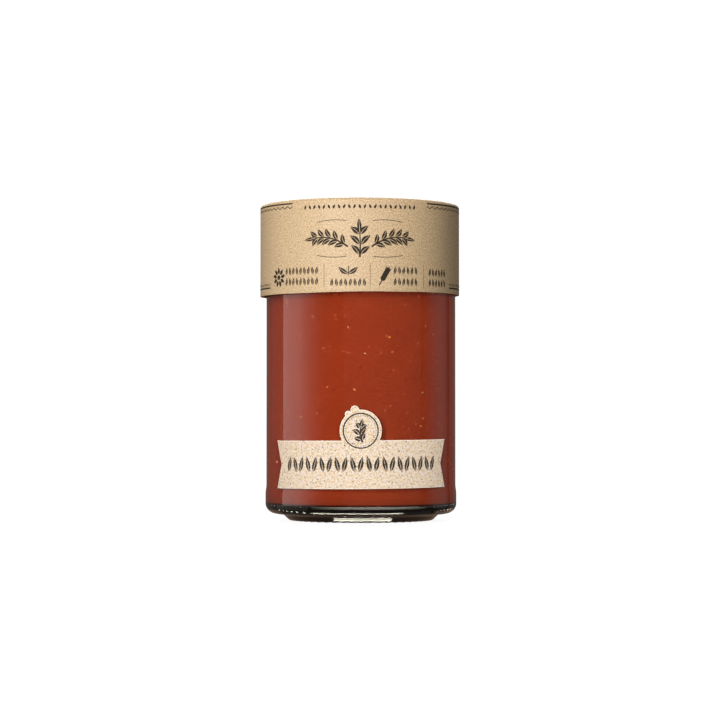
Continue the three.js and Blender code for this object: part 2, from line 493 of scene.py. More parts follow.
def kraft_material(settings):
    """Brown kraft paper with clouded stock, crossing fibres and small specks."""
    material, tree, output = new_material("kraft_paper")
    sheet = sheet_place(tree)
    dark, pale = opaque(settings.kraft_dark), opaque(settings.kraft_pale)
    clouds = noise(tree, sheet, 260.0, 3.0, 0.6)
    grain = noise(tree, sheet, 1600.0, 4.0, 0.7)
    tone = mixed(tree, stepped(tree, clouds, 0.2, 0.8), dark, pale)
    tone = mixed(tree, 0.8, tone, opaque(settings.kraft))
    tone = mixed(tree, 0.75, tone, mixed(tree, stepped(tree, grain, 0.32, 0.68), dark, pale))
    fibres = 0.0
    for turn, seed in ((0.35, 0.0), (1.25, 0.3), (2.2, 0.6), (2.9, 0.9)):
        shifted = add_node(tree, "ShaderNodeVectorMath", {0: sheet, 1: (seed, seed, 0)}).outputs[0]
        streak = noise(tree, stretched(tree, shifted, (10.0, 0.8, 1.0), turn), 1900.0, 1.0)
        fibres = maths(tree, "MAXIMUM", fibres, stepped(tree, streak, 0.66, 0.76))
    tone = mixed(tree, maths(tree, "MULTIPLY", fibres, 0.35), tone, pale)
    specks = stepped(tree, noise(tree, sheet, 1300.0, 0.0), 0.72, 0.78)
    tone = mixed(tree, maths(tree, "MULTIPLY", specks, 0.6), tone, dark)
    relief = maths(tree, "ADD", maths(tree, "MULTIPLY", fibres, 0.5), grain)
    finish_surface(tree, output, {
        "Base Color": tone, "Roughness": maths(tree, "MULTIPLY_ADD", grain, 0.15, 0.46),
        "Specular IOR Level": 0.5, "Normal": bumped(tree, relief, 0.15, 0.08 * MM),
    })
    return material


def label_material(settings):
    """Cream recycled paper with flecks of peel and dark specks, and a painted highlight along the cut edge.
    """
    material, tree, output = new_material("label_paper")
    sheet = sheet_place(tree)
    grain = noise(tree, sheet, 1500.0, 4.0, 0.7)
    shaded = tuple(part * 0.62 for part in settings.cream)
    tone = mixed(tree, stepped(tree, grain, 0.28, 0.6), opaque(shaded), opaque(settings.cream))
    haze = stepped(tree, noise(tree, sheet, 700.0, 2.0), 0.44, 0.6)
    tone = mixed(tree, maths(tree, "MULTIPLY", haze, 0.6), tone, opaque(settings.haze))
    peel = stepped(tree, noise(tree, sheet, 1100.0, 2.0, 0.6), 0.5, 0.58)
    tone = mixed(tree, maths(tree, "MULTIPLY", peel, 0.75), tone, opaque(settings.tan))
    specks = stepped(tree, noise(tree, sheet, 1250.0, 0.0), 0.7, 0.74)
    tone = mixed(tree, maths(tree, "MULTIPLY", specks, 0.95), tone, opaque(settings.grey))
    # Painted highlight: the cut edge is mixed towards a pale colour, as if it caught the light
    rim = add_node(tree, "ShaderNodeAttribute", attribute_name="rim").outputs["Fac"]
    tone = mixed(tree, maths(tree, "MULTIPLY", rim, 0.7), tone, opaque(linear(252, 242, 224)))
    finish_surface(tree, output, {
        "Base Color": tone, "Roughness": maths(tree, "MULTIPLY_ADD", grain, 0.15, 0.52),
        "Specular IOR Level": 0.35, "Normal": bumped(tree, grain, 0.3, 0.05 * MM),
    })
    return material


def ink_material(settings):
    """Matt ink that has soaked unevenly into rough paper."""
    material, tree, output = new_material("print_ink")
    place = object_place(tree)
    worn = stepped(tree, noise(tree, place, 2400.0, 2.0, 0.7), 0.5, 0.85)
    lighter = tuple(3.2 * part for part in settings.ink)
    tone = mixed(tree, maths(tree, "MULTIPLY", worn, 0.8), opaque(settings.ink), opaque(lighter))
    finish_surface(tree, output, {
        "Base Color": tone, "Roughness": maths(tree, "MULTIPLY_ADD", worn, 0.2, 0.7),
        "Specular IOR Level": 0.2,
    })
    return material


def new_object(name, points, faces, material=None):
    """A mesh object at the origin, with smooth faces."""
    mesh = bpy.data.meshes.new(name)
    mesh.from_pydata([tuple(point) for point in points], [], faces)
    mesh.polygons.foreach_set("use_smooth", [True] * len(mesh.polygons))
    mesh.update()
    made = bpy.data.objects.new(name, mesh)
    bpy.context.scene.collection.objects.link(made)
    if material:
        mesh.materials.append(material)
    return made


def ring_faces(rows, columns):
    """Faces of a turned skin whose first and last rows are single points on the axis."""

    def corner(row, column):
        """Number of the point in a row and column."""
        if row == 0:
            return 0
        if row == rows - 1:
            return 1 + (rows - 2) * columns
        return 1 + (row - 1) * columns + column % columns

    faces = []
    for row in range(rows - 1):
        for column in range(columns):
            quad = [corner(row, column), corner(row, column + 1),
                    corner(row + 1, column + 1), corner(row + 1, column)]
            faces.append(tuple(dict.fromkeys(quad)))
    return faces


def turned(profile, turns):
    """Points of a profile turned about +Z. Its first and last points lie on the axis."""
    profile = np.array(profile)
    radii, heights = profile[1:-1, 0][:, None], profile[1:-1, 1][:, None]
    spread = np.ones_like(turns)[None, :]
    rings = np.stack([radii * np.sin(turns), -radii * np.cos(turns), heights * spread], -1).reshape(-1, 3)
    ends = [(0, 0, height) for height in (profile[0, 1], profile[-1, 1])]
    return np.vstack([ends[:1], rings, ends[1:]])


def even_turns(segments):
    """Angles round the axis, from the front towards +X."""
    return np.arange(segments) * 2 * math.pi / segments


def use_nodes_once(made, tree, values):
    """Runs a Geometry Nodes tree on an object and leaves the result as its plain mesh."""
    modifier = made.modifiers.new(tree.name, "NODES")
    modifier.node_group = tree
    names = {item.name: item.identifier for item in tree.interface.items_tree if item.in_out == "INPUT"}
    for name, value in values.items():
        modifier[names[name]] = value
    graph = bpy.context.evaluated_depsgraph_get()
    graph.update()
    mesh = bpy.data.meshes.new_from_object(made.evaluated_get(graph))
    made.modifiers.remove(modifier)
    made.data = mesh
    return made


def new_tree(name, inputs):
    """A Geometry Nodes tree with named inputs, and its input and output nodes."""
    tree = bpy.data.node_groups.new(name, "GeometryNodeTree")
    kinds = {"Geometry": "NodeSocketGeometry"} | inputs | {"Material": "NodeSocketMaterial"}
    for socket, kind in kinds.items():
        tree.interface.new_socket(socket, in_out="INPUT", socket_type=kind)
    tree.interface.new_socket("Geometry", in_out="OUTPUT", socket_type="NodeSocketGeometry")
    entry = add_node(tree, "NodeGroupInput").outputs
    return tree, entry, add_node(tree, "NodeGroupOutput")


def end_tree(tree, entry, output, geometry):
    """Makes instances real, gives them the material and joins them to the output."""
    real = add_node(tree, "GeometryNodeRealizeInstances", {0: geometry}).outputs[0]
    inputs = {"Geometry": real, "Material": entry["Material"]}
    painted = add_node(tree, "GeometryNodeSetMaterial", inputs).outputs[0]
    tree.links.new(painted, output.inputs[0])


def foot_rib_tree():
    """Dents the ring that the jar stands on, so that short ribs are left between the dents."""
    tree, entry, output = new_tree("foot_ribs", {
        "Count": "NodeSocketFloat", "Depth": "NodeSocketFloat", "Inner": "NodeSocketFloat",
        "Outer": "NodeSocketFloat", "Top": "NodeSocketFloat",
    })
    place = add_node(tree, "GeometryNodeInputPosition").outputs[0]
    parts = add_node(tree, "ShaderNodeSeparateXYZ", {0: place}).outputs
    turn = maths(tree, "MULTIPLY", maths(tree, "ARCTAN2", parts["Y"], parts["X"]), entry["Count"])
    dent = maths(tree, "MULTIPLY_ADD", maths(tree, "COSINE", turn), 0.5, 0.5)
    flat = add_node(tree, "ShaderNodeCombineXYZ", {0: parts["X"], 1: parts["Y"]}).outputs[0]
    radius = add_node(tree, "ShaderNodeVectorMath", {0: flat}, operation="LENGTH").outputs["Value"]
    middle = maths(tree, "MULTIPLY", maths(tree, "ADD", entry["Inner"], entry["Outer"]), 0.5)
    reach = maths(tree, "MULTIPLY", maths(tree, "SUBTRACT", entry["Outer"], entry["Inner"]), 0.5)
    off = maths(tree, "ABSOLUTE", maths(tree, "SUBTRACT", radius, middle))
    window = stepped(tree, maths(tree, "DIVIDE", off, reach), 1.0, 0.6)
    below = maths(tree, "LESS_THAN", parts["Z"], entry["Top"])
    height = maths(tree, "MULTIPLY", maths(tree, "MULTIPLY", dent, window), below)
    height = maths(tree, "MULTIPLY", height, entry["Depth"])
    offset = add_node(tree, "ShaderNodeCombineXYZ", {2: height}).outputs[0]
    dented = add_node(tree, "GeometryNodeSetPosition", {"Geometry": entry["Geometry"], "Offset": offset})
    end_tree(tree, entry, output, dented.outputs[0])
    return tree


def fleck_tree():
    """Scatters small flat flecks over a wall, each with a tone of its own."""
    tree, entry, output = new_tree("fleck_scatter", {
        "Density": "NodeSocketFloat", "Size": "NodeSocketFloat", "Seed": "NodeSocketInt",
    })
    inputs = {"Mesh": entry["Geometry"], "Density": entry["Density"], "Seed": entry["Seed"]}
    spots = add_node(tree, "GeometryNodeDistributePointsOnFaces", inputs).outputs

    def draw(low, high, seed):
        """A random value for each fleck."""
        start = maths(tree, "ADD", entry["Seed"], seed)
        inputs = {2: low, 3: high, 8: start}
        return add_node(tree, "FunctionNodeRandomValue", inputs, data_type="FLOAT").outputs[1]

    large = maths(tree, "MULTIPLY", entry["Size"], maths(tree, "POWER", draw(0.4, 1.0, 1), 2.0))
    thin = maths(tree, "MULTIPLY", large, draw(0.22, 0.7, 2))
    scale = add_node(tree, "ShaderNodeCombineXYZ", {0: large, 1: thin, 2: 0.09 * MM}).outputs[0]
    inputs = {"Axis": (0, 0, 1), "Angle": draw(0.0, math.pi, 3)}
    spin = add_node(tree, "FunctionNodeAxisAngleToRotation", inputs).outputs[0]
    inputs = {"Rotation": spots["Rotation"], "Rotate By": spin}
    turned_spin = add_node(tree, "FunctionNodeRotateRotation", inputs, rotation_space="LOCAL").outputs[0]
    ball = add_node(tree, "GeometryNodeMeshUVSphere", {"Segments": 8, "Rings": 5, "Radius": 1.0}).outputs[0]
    inputs = {"Points": spots["Points"], "Instance": ball, "Rotation": turned_spin, "Scale": scale}
    placed = add_node(tree, "GeometryNodeInstanceOnPoints", inputs).outputs[0]
    inputs = {"Geometry": placed, "Name": "tone", "Value": draw(0.0, 1.0, 4)}
    toned = add_node(tree, "GeometryNodeStoreNamedAttribute", inputs, data_type="FLOAT", domain="INSTANCE")
    end_tree(tree, entry, output, toned.outputs[0])
    return tree


def motif_row_tree():
    """Repeats a flat motif along a row, leaning to one side and then the other."""
    tree, entry, output = new_tree("motif_row", {
        "Count": "NodeSocketInt", "First": "NodeSocketVector", "Step": "NodeSocketVector",
        "Lean": "NodeSocketFloat",
    })
    inputs = {"Count": entry["Count"], "Start Location": entry["First"], "Offset": entry["Step"]}
    row = add_node(tree, "GeometryNodeMeshLine", inputs).outputs[0]
    index = add_node(tree, "GeometryNodeInputIndex").outputs[0]
    side = maths(tree, "COSINE", maths(tree, "MULTIPLY", index, math.pi))
    lean = maths(tree, "MULTIPLY", side, entry["Lean"])
    turn = add_node(tree, "FunctionNodeAxisAngleToRotation", {"Axis": (0, 1, 0), "Angle": lean}).outputs[0]
    inputs = {"Points": row, "Instance": entry["Geometry"], "Rotation": turn}
    placed = add_node(tree, "GeometryNodeInstanceOnPoints", inputs).outputs[0]
    end_tree(tree, entry, output, placed)
    return tree


def repeat(drawing, motif, number_of, first, step, lean=0.0):
    """Draws a motif again and again along a row."""
    tree = bpy.data.node_groups.get("motif_row") or motif_row_tree()
    made = new_object("motif", motif.points, motif.faces)
    use_nodes_once(made, tree, {
        "Count": number_of, "First": (first[0], 0, first[1]), "Step": (step[0], 0, step[1]), "Lean": lean,
    })
    points = [vertex.co.copy() for vertex in made.data.vertices]
    drawing.add(points, [tuple(face.vertices) for face in made.data.polygons])
    bpy.data.objects.remove(made)


def wrapped(points, radius_at, centre):
    """Flat paper points bent round an upright axis at x = centre, from the front."""
    points = np.array(points, float)
    turns = points[:, 0] / radius_at.flat
    radii = radius_at(turns) + points[:, 1]
    return np.stack([centre + radii * np.sin(turns), -radii * np.cos(turns), points[:, 2]], 1)


class PlainWall:
    """A round wall of one radius."""

    def __init__(self, radius):
        self.flat = radius

    def __call__(self, turns):
        return np.full_like(turns, self.flat)


class LappedWall(PlainWall):
    """A round wall whose sheet laps over itself at one place."""

    def __init__(self, radius, settings):
        super().__init__(radius)
        self.settings = settings

    def __call__(self, turns):
        before = np.mod(self.settings.lap_place - turns, 2 * math.pi)
        rise = np.clip(1 - before / self.settings.lap_width, 0, 1)
        return self.flat + self.settings.lap * rise * rise * (3 - 2 * rise)


def outward(made):
    """Turns every face of a closed mesh outwards."""
    sheet = bmesh.new()
    sheet.from_mesh(made.data)
    bmesh.ops.recalc_face_normals(sheet, faces=sheet.faces)
    sheet.to_mesh(made.data)
    sheet.free()


def keep(made, slot, *nodes):
    """Lets a piece ride on the jar and hides the solids that it stands for."""
    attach(made, BODY)
    if nodes:
        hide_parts(*nodes)


def jar_settings():
    """The settings of the scene's jar."""
    return bpy.context.scene.passata_jar


def inside_outline(outline, settings, grow, steps):
    """Draws the inside of the glass, its wall in steps and then its floor, grown by a margin."""
    radius = settings.body_radius - settings.wall + grow
    floor = settings.floor_height - grow
    corner = settings.floor_corner
    outline.line(radius, floor + corner, steps)
    outline.arc((radius - corner, floor + corner), (corner, corner), 0, -90, 12)
    dome = floor + settings.floor_dome
    outline.curve((radius / 2, dome), (0, dome), 8)


def glass_outline(settings):
    """Outside of the glass from under its middle to the rim, then the inside down to its floor."""
    rim = GLASS_HIGH.z
    bumper = GLASS_HIGH.x
    slope = np.array([settings.foot_top_radius - settings.foot_radius, settings.foot_height])
    slope *= settings.foot_round / np.linalg.norm(slope)
    fade = (settings.bumper_high + settings.bumper_fade) / 2
    lip = settings.wall / 2
    outline = Outline(0, settings.push_up)
    outline.curve((settings.bearing_radius / 2, settings.push_up), (settings.bearing_radius, 0), 16)
    outline.line(settings.foot_radius - settings.foot_round, 0, 8)
    outline.curve((settings.foot_radius, 0), (settings.foot_radius + slope[0], slope[1]), 5)
    near_top = (settings.foot_top_radius - slope[0], settings.foot_height - slope[1])
    outline.line(*near_top, 3)
    past_top = (settings.foot_top_radius + settings.foot_round, settings.foot_height + 0.1 * MM)
    outline.curve((settings.foot_top_radius, settings.foot_height), past_top, 4)
    outline.line(settings.heel_radius, settings.heel_height, 3)
    heel = (bumper - settings.heel_radius, settings.bumper_low - settings.heel_height)
    outline.arc((settings.heel_radius, settings.bumper_low), heel, -90, 0, 22)
    outline.line(bumper, settings.bumper_high, 4)
    middle = ((bumper + settings.body_radius) / 2, fade)
    outline.curve((bumper, (settings.bumper_high + fade) / 2), middle, 5)
    outline.curve((settings.body_radius, (settings.bumper_fade + fade) / 2),
                  (settings.body_radius, settings.bumper_fade), 5)
    outline.line(settings.body_radius, rim - lip, 12)
    outline.arc((settings.body_radius - lip, rim - lip), (lip, lip), 0, 180, 8)
    inside_outline(outline, settings, 0.0, 12)
    return outline.points


class JarGlass(Operator):
    """Turns the clear glass and moulds the ribs round its foot"""

    bl_idname = "passata_jar.glass"
    bl_label = "Glass"

    def execute(self, context):
        settings = jar_settings().glass
        profile = glass_outline(settings)
        points = turned(profile, even_turns(settings.segments))
        made = new_object("glass_clear", points, ring_faces(len(profile), settings.segments))
        use_nodes_once(made, foot_rib_tree(), {
            "Count": float(settings.ribs), "Depth": settings.rib_depth, "Inner": settings.rib_inner,
            "Outer": settings.rib_outer, "Top": settings.foot_height,
            "Material": glass_material(settings),
        })
        made.visible_shadow = False
        keep(made, "glass", "glass_jar")
        return {"FINISHED"}


# Heights in millimetres, and how far the passata is out of the light there, painted as shade on its colour
UNLIT = ((7.2, 7.7, 8.1, 11.5), (1.0, 0.8, 0.3, 0.0))


class JarPassata(Operator):
    """Fills the glass with passata up to its level"""

    bl_idname = "passata_jar.passata"
    bl_label = "Passata"

    def execute(self, context):
        glass, settings = jar_settings().glass, jar_settings().passata
        radius = glass.body_radius - glass.wall + settings.overlap
        level = FILL_HIGH.z
        outline = Outline(0, level)
        outline.line(radius - MM, level, 4)
        outline.curve((radius, level), (radius, level + MM), 4)
        inside_outline(outline, glass, settings.overlap, 60)
        profile = outline.points[::-1]
        points = turned(profile, even_turns(settings.segments))
        # Share of painted shade at each point, by its height
        unlit = np.interp(points[:, 2] / MM, *UNLIT)
        faces = ring_faces(len(profile), settings.segments)
        made = new_object("passata_fill", points, faces, passata_material(settings))
        layer = made.data.attributes.new("unlit", "FLOAT", "POINT")
        layer.data.foreach_set("value", unlit)
        keep(made, "passata", "passata")
        return {"FINISHED"}


class JarFlecks(Operator):
    """Scatters bits of skin and seed that lie against the glass"""

    bl_idname = "passata_jar.flecks"
    bl_label = "Flecks"

    def execute(self, context):
        glass, settings = jar_settings().glass, jar_settings().passata
        radius = glass.body_radius - glass.wall + settings.overlap
        turns = even_turns(settings.segments)
        low, high = 2 * glass.floor_height, FILL_HIGH.z - glass.floor_height
        rings = [[(radius * math.sin(t), -radius * math.cos(t), z) for t in turns] for z in (low, high)]
        columns = settings.segments
        faces = [(i, (i + 1) % columns, columns + (i + 1) % columns, columns + i) for i in range(columns)]
        made = new_object("passata_flecks", rings[0] + rings[1], faces)
        use_nodes_once(made, fleck_tree(), {
            "Density": settings.flecks, "Size": settings.fleck_size, "Seed": settings.seed,
            "Material": fleck_material(),
        })
        keep(made, "passata")
        return {"FINISHED"}


def cover_outline(settings):
    """The cover from the middle of its inside, down to the hem and over the shoulder to its top."""
    radius = COVER_HIGH.x - COVER_CENTRE
    top, hem = COVER_HIGH.z, COVER_LOW.z
    mouth = jar_settings().glass.body_radius + settings.shoulder / 2
    edge = settings.paper / 5
    outline = Outline(0, top - settings.top)
    outline.line(mouth, top - settings.top, 6)
    outline.line(mouth, top - settings.band, 4)
    outline.line(radius - settings.paper, top - settings.band, 1)
    outline.line(radius - settings.paper, hem + edge, 12)
    outline.curve((radius - settings.paper, hem), (radius - settings.paper + edge, hem), 2)
    outline.line(radius - edge, hem, 2)
    outline.curve((radius, hem), (radius, hem + edge), 2)
    outline.line(radius, top - settings.shoulder, 24)
    outline.arc((radius - settings.shoulder, top - settings.shoulder),
                (settings.shoulder, settings.shoulder), 0, 90, 8)
    outline.line(0, top, 16)
    return outline.points


def paper_map(mesh, radius):
    """Lays paper coordinates in metres over a turned skin: round its wall, and flat on its top."""
    layer = mesh.uv_layers.new(name="sheet")
    for face in mesh.polygons:
        flat = abs(face.normal.z) > 0.7
        middle = math.atan2(face.center.x, -face.center.y)
        for loop in face.loop_indices:
            x, y, z = mesh.vertices[mesh.loops[loop].vertex_index].co
            turn = math.atan2(x, -y)
            turn += 2 * math.pi * round((middle - turn) / (2 * math.pi))
            layer.data[loop].uv = (x, y) if flat else (turn * radius, z)


# How far up the skirt the uneven hem is felt
HEM_REACH = 12 * MM
# Turn in radians that keeps the sheet's last column just short of its first
SEAM = 1e-6


class JarCover(Operator):
    """Makes the kraft paper cover with its lapped sheet and cut hem"""

    bl_idname = "passata_jar.cover"
    bl_label = "Cover"

    def execute(self, context):
        settings = jar_settings().cover
        radius = COVER_HIGH.x - COVER_CENTRE
        profile = cover_outline(settings)
        turns = settings.lap_place + np.linspace(0, 2 * math.pi, settings.segments + 1)
        turns[-1] -= SEAM
        points = turned(profile, turns)
        faces = ring_faces(len(profile), len(turns))
        radii = np.hypot(points[:, 0], points[:, 1])
        angles = np.concatenate([[0.0], np.tile(turns, len(profile) - 2), [0.0]])
        shoulder = COVER_HIGH.z - settings.shoulder
        wall = (radii > radius - settings.paper / 2) & (points[:, 2] < shoulder)
        lapped = LappedWall(radius, settings)(angles) / radius
        grow = np.where(wall, lapped, 1.0)
        points[:, :2] *= grow[:, None]
        skirt = np.clip((COVER_LOW.z + HEM_REACH - points[:, 2]) / HEM_REACH, 0, 1) ** 2
        sway = np.sin(3 * angles + 0.6) + 0.6 * np.sin(7 * angles + 2.0) + 0.4 * np.sin(13 * angles)
        points[:, 2] += skirt * (settings.hem_slant * points[:, 0] / radius + settings.hem_wave * sway)
        points[:, 0] += COVER_CENTRE
        made = new_object("kraft_cover_paper", points, faces, kraft_material(settings))
        made.data.set_sharp_from_angle(angle=math.radians(40))
        paper_map(made.data, radius)
        keep(made, "kraft", "kraft_cover")
        return {"FINISHED"}


def branch(drawing, path, leaf, width, vein, pairs):
    """A leafy twig along a path, with leaves in pairs and one at the tip."""
    path = np.array(path)
    share = np.linspace(0, 1, len(path))
    drawing.stroke(path, np.linspace(0.75, 0.4, len(path)) * MM)
    along = path[-1] - path[-2]
    along /= np.linalg.norm(along)
    drawing.leaf(path[-1], path[-1] + along * leaf, width * 0.8, vein)
    for place in np.linspace(0.1, 0.9, pairs):
        root = np.array([np.interp(place, share, path[:, 0]), np.interp(place, share, path[:, 1])])
        ahead = np.array([np.interp(place + 0.05, share, path[:, 0]),
                          np.interp(place + 0.05, share, path[:, 1])]) - root
        heading = math.atan2(ahead[1], ahead[0])
        size = leaf * (1.0 - 0.3 * abs(place - 0.45))
        for side in (-1, 1):
            turn = heading + side * math.radians(46)
            tip = root + size * np.array([math.cos(turn), math.sin(turn)])
            start = root + 0.5 * MM * np.array([math.cos(turn), math.sin(turn)])
            drawing.leaf(start, tip, width, vein, -side * 0.4 * MM)


def curved(start, pull, end, steps=24):
    """Points along a curve that starts towards pull and arrives from it."""
    outline = Outline(*start)
    outline.curve(pull, end, steps)
    return outline.points


def upright_leaf(settings, height, width, vein=0.0):
    """One upright leaf, centred, as a motif."""
    motif = Drawing(settings)
    motif.leaf((0, -height / 2), (0, height / 2), width, vein)
    return motif


def seed_dot(settings, radius):
    """One dot as a motif."""
    motif = Drawing(settings)
    motif.dot((0, 0), radius)
    return motif


# Pairs of frame lines: turn in degrees where they start, heights of the plain and the wavy line in mm
FRAME_LINES = ((41.0, 135.6, 134.0), (61.8, 100.35, 101.75))
# Turns of the dotted dividers in degrees
DIVIDERS = (-20.2, 5.8, 38.4)
# Leaf friezes: place of the first leaf across and up in mm, and the number of leaves
FRIEZES = ((-34.6, 106.9, 9), (-34.6, 102.4, 9), (-11.9, 101.7, 8), (15.2, 106.8, 6), (15.2, 102.0, 6),
           (32.7, 106.4, 6), (32.7, 102.0, 6))


def cover_frame(drawing, settings, radius):
    """Frame lines that run round the back: a plain one with a wavy one inside it, above and below."""
    around = 2 * math.pi * radius
    for first, plain, wavy in FRAME_LINES:
        start = math.radians(first) * radius
        drawing.rule(start, around - start, plain * MM, settings.rule)
        drawing.wave(start, around - start, wavy * MM, settings)


def cover_columns(drawing, settings, radius):
    """Dotted dividers and small leaf friezes along the lower edge."""
    for place in DIVIDERS:
        x = math.radians(place) * radius
        repeat(drawing, seed_dot(settings, 0.16 * MM), 19, (x, 99.9 * MM), (0, 0.52 * MM))
    tall = upright_leaf(settings, 3.5 * MM, 1.25 * MM, 0.22 * MM)
    for x, z, number_of in FRIEZES:
        repeat(drawing, tall, number_of, (x * MM, z * MM), (1.98 * MM, 0), math.radians(9))
    flower(drawing, (-39.9 * MM, 104.5 * MM), 4.3 * MM)
    root = np.array([-4.9 * MM, 105.2 * MM])
    for side in (-1, 1):
        tip = root + np.array([side * 4.2 * MM, 3.0 * MM])
        drawing.leaf(root, tip, 1.9 * MM, 0.3 * MM, -side * 0.3 * MM)
    stem = curved((-4.9 * MM, 104.4 * MM), (-4.9 * MM, 106 * MM), (-4.6 * MM, 108.6 * MM), 8)
    drawing.stroke(stem, settings.hairline)
    ear(drawing, (8.2 * MM, 100.4 * MM), (11.6 * MM, 106.3 * MM))


def flower(drawing, centre, radius):
    """A daisy of plain petals round a dot."""
    drawing.dot(centre, radius * 0.24)
    for turn in np.linspace(0, 2 * math.pi, 10)[:-1]:
        way = np.array([math.sin(turn), math.cos(turn)])
        drawing.leaf(np.array(centre) + way * radius * 0.34, np.array(centre) + way * radius, radius * 0.36)


def ear(drawing, foot, top):
    """A small ear of grain along a straight stalk."""
    foot, top = np.array(foot), np.array(top)
    drawing.stroke(np.linspace(foot, top, 8), 0.45 * MM)
    along = (top - foot) / np.linalg.norm(top - foot)
    aside = np.array([-along[1], along[0]])
    for step in np.linspace(0.32, 0.98, 5):
        root = foot + step * (top - foot)
        for side in (-1, 1):
            drawing.leaf(root, root + along * 2.0 * MM + side * aside * 1.15 * MM, 0.95 * MM)
    drawing.leaf(top, top + along * 2.3 * MM, 0.95 * MM)


def cover_middle(drawing, settings):
    """Two leafy twigs either side of an upright sprig, between thin curved lines."""
    vein = 0.28 * MM
    upright = curved((0, 112.2 * MM), (0.4 * MM, 117 * MM), (0, 122.6 * MM))
    branch(drawing, upright, 6.2 * MM, 2.3 * MM, vein, 3)
    for side in (-1, 1):
        start, end = (side * 5.0 * MM, 116.6 * MM), (side * 19.6 * MM, 120.4 * MM)
        branch(drawing, curved(start, (side * 12 * MM, 121.8 * MM), end), 5.2 * MM, 2.0 * MM, vein, 5)
        for height, dip in ((127.6, 0.9), (112.6, -0.9)):
            line = curved((side * 5.6 * MM, height * MM), (side * 12 * MM, (height + dip) * MM),
                          (side * 18.6 * MM, (height - 0.6 * dip) * MM))
            drawing.stroke(line, 0.26 * MM)
    small = upright_leaf(settings, 2.0 * MM, 0.95 * MM)
    repeat(drawing, small, 23, (-24.2 * MM, 133.6 * MM), (2.2 * MM, 0), math.radians(24))


class JarCoverPrint(Operator):
    """Prints frame lines, a leafy ornament and small friezes on the cover"""

    bl_idname = "passata_jar.cover_print"
    bl_label = "Cover print"

    def execute(self, context):
        settings = jar_settings().printing
        radius = COVER_HIGH.x - COVER_CENTRE
        drawing = Drawing(settings)
        cover_frame(drawing, settings, radius)
        cover_columns(drawing, settings, radius)
        cover_middle(drawing, settings)
        wall = LappedWall(radius, jar_settings().cover)
        points = wrapped(drawing.points, wall, COVER_CENTRE)
        made = new_object("cover_print", points, drawing.faces, ink_material(settings))
        outward(made)
        made.data.set_sharp_from_angle(angle=math.radians(30))
        keep(made, "ink")
        return {"FINISHED"}


# Place across, height and radius of each small lobe on the label's round top, in millimetres
LOBES = ((-2.4, 48.1, 1.8), (-5.15, 46.25, 1.5))


def askew(places, settings):
    """Flat places on the label, turned about the ribbon's middle as it is stuck on."""
    turn = np.array([[math.cos(settings.tilt), -math.sin(settings.tilt)],
                     [math.sin(settings.tilt), math.cos(settings.tilt)]])
    pivot = np.array([0, (settings.low + settings.high) / 2])
    return (np.array(places) - pivot) @ turn.T + pivot


def label_outline(settings):
    """The label's cut edge on flat paper: a ribbon with notched ends, a round top and two small lobes."""
    half, middle = settings.ribbon / 2, (settings.low + settings.high) / 2
    centre = np.array([0, settings.bump_height])
    join = math.asin((settings.high - settings.bump_height) / settings.bump_radius)
    right_tail = [(half, settings.high), (half - settings.notch, middle), (half, settings.low)]
    left_tail = [(-x, z) for x, z in right_tail[::-1]]
    stops = [math.pi - join]
    arcs = []
    for x, z, radius in sorted(LOBES):
        lobe = np.array([x, z]) * MM
        radius *= MM
        gap = np.linalg.norm(lobe - centre)
        heading = math.atan2(*(lobe - centre)[::-1])
        cosine = (gap**2 + settings.bump_radius**2 - radius**2) / (2 * gap * settings.bump_radius)
        spread = math.acos(cosine)
        stops += [heading + spread, heading - spread]
        arcs.append((lobe, radius))
    stops.append(join)
    round_top = []
    for piece in range(0, len(stops), 2):
        round_top += around(centre, settings.bump_radius, stops[piece], stops[piece + 1], math.radians(2.5))
        if piece // 2 < len(arcs):
            lobe, radius = arcs[piece // 2]
            next_stop = centre + settings.bump_radius * np.array(
                [math.cos(stops[piece + 2]), math.sin(stops[piece + 2])])
            first = math.atan2(*(np.array(round_top[-1]) - lobe)[::-1])
            last = math.atan2(*(next_stop - lobe)[::-1])
            if first < last:
                first += 2 * math.pi
            round_top += around(lobe, radius, first, last, math.radians(14))[1:-1]
    return askew(left_tail + round_top + right_tail, settings)


def around(centre, radius, first, last, step):
    """Points of an arc from one angle down to another."""
    steps = max(1, math.ceil(abs(first - last) / step))
    return [(centre[0] + radius * math.cos(a), centre[1] + radius * math.sin(a))
            for a in np.linspace(first, last, steps + 1)]


def inset(edge, margin):
    """A closed edge moved inwards by a margin. It runs clockwise."""
    before = edge - np.roll(edge, 1, axis=0)
    after = np.roll(edge, -1, axis=0) - edge
    sides = []
    for way in (before, after):
        way = way / np.linalg.norm(way, axis=1)[:, None]
        sides.append(np.stack([way[:, 1], -way[:, 0]], 1))
    middle = sides[0] + sides[1]
    share = np.maximum(np.sum(middle * sides[0], axis=1), 0.5)
    return edge + middle / share[:, None] * margin


